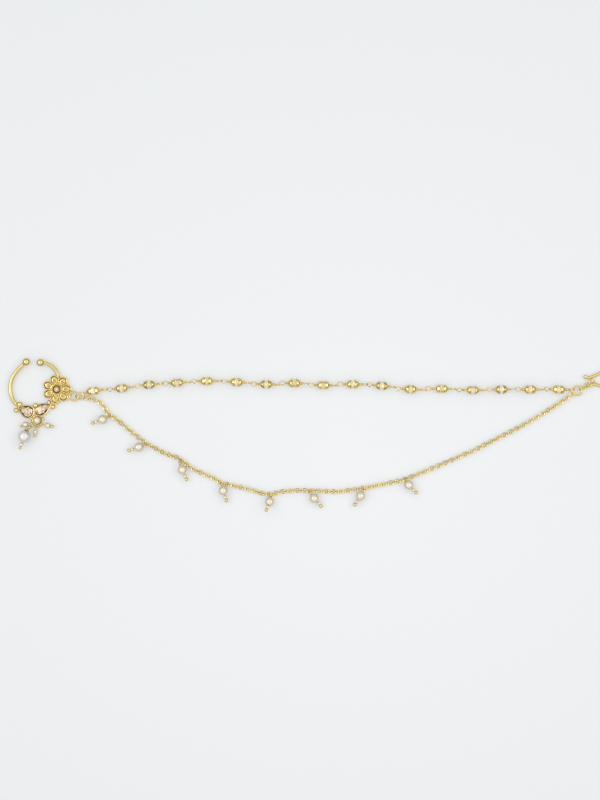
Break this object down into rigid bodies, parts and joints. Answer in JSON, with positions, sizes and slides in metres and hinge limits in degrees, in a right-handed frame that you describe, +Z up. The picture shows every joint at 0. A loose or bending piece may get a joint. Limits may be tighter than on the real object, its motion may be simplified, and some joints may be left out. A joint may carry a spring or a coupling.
{
  "type": "nath nose ring",
  "caption": "Open nose hoop with a flower, pear stones and pearl drops, joined to a hair hook by a crystal chain and a swag of fine chain with pearls.",
  "frame": {"origin": "middle of the whole thing's footprint, on the surface that it lies on", "axes": "+X from the nose hoop to the hair hook, +Y from the swag to the crystal chain, +Z up, out of the flower's face"},
  "size_m": [0.2882, 0.0718, 0.0059],
  "materials": {
    "gold": "polished yellow gold plate",
    "pearl": "satin pearl lustre",
    "champagne_stone": "foiled faceted stone",
    "clear_crystal": "clear faceted bead"
  },
  "bodies": {
    "root": {"nose_ring": "gold", "flower_stone": "champagne_stone", "pear_stone_left": "champagne_stone", "pear_stone_right": "champagne_stone", "cup_pearl": "pearl", "main_drop_pearl": "pearl", "main_drop_pin": "gold", "small_drop_seed_left": "pearl", "small_drop_pin_left": "gold", "small_drop_seed_centre": "pearl", "small_drop_pin_centre": "gold", "small_drop_seed_right": "pearl", "small_drop_pin_right": "gold", "flower_jump_ring": "gold", "flower_link": "gold", "upper_chain": "gold", "crystal_01": "clear_crystal", "crystal_02": "clear_crystal", "crystal_03": "clear_crystal", "crystal_04": "clear_crystal", "crystal_05": "clear_crystal", "crystal_06": "clear_crystal", "crystal_07": "clear_crystal", "crystal_08": "clear_crystal", "crystal_09": "clear_crystal", "crystal_10": "clear_crystal", "crystal_11": "clear_crystal", "crystal_12": "clear_crystal", "crystal_13": "clear_crystal", "crystal_14": "clear_crystal", "crystal_15": "clear_crystal", "crystal_16": "clear_crystal", "crystal_17": "clear_crystal", "lower_chain": "gold", "chain_pearl_1": "pearl", "chain_pin_1": "gold", "chain_pearl_2": "pearl", "chain_pin_2": "gold", "chain_pearl_3": "pearl", "chain_pin_3": "gold", "chain_pearl_4": "pearl", "chain_pin_4": "gold", "chain_pearl_5": "pearl", "chain_pin_5": "gold", "chain_pearl_6": "pearl", "chain_pin_6": "gold", "chain_pearl_7": "pearl", "chain_pin_7": "gold", "chain_pearl_8": "pearl", "chain_pin_8": "gold", "end_jump_ring": "gold", "end_link": "gold", "hair_hook": "gold"}
  },
  "joints": []
}
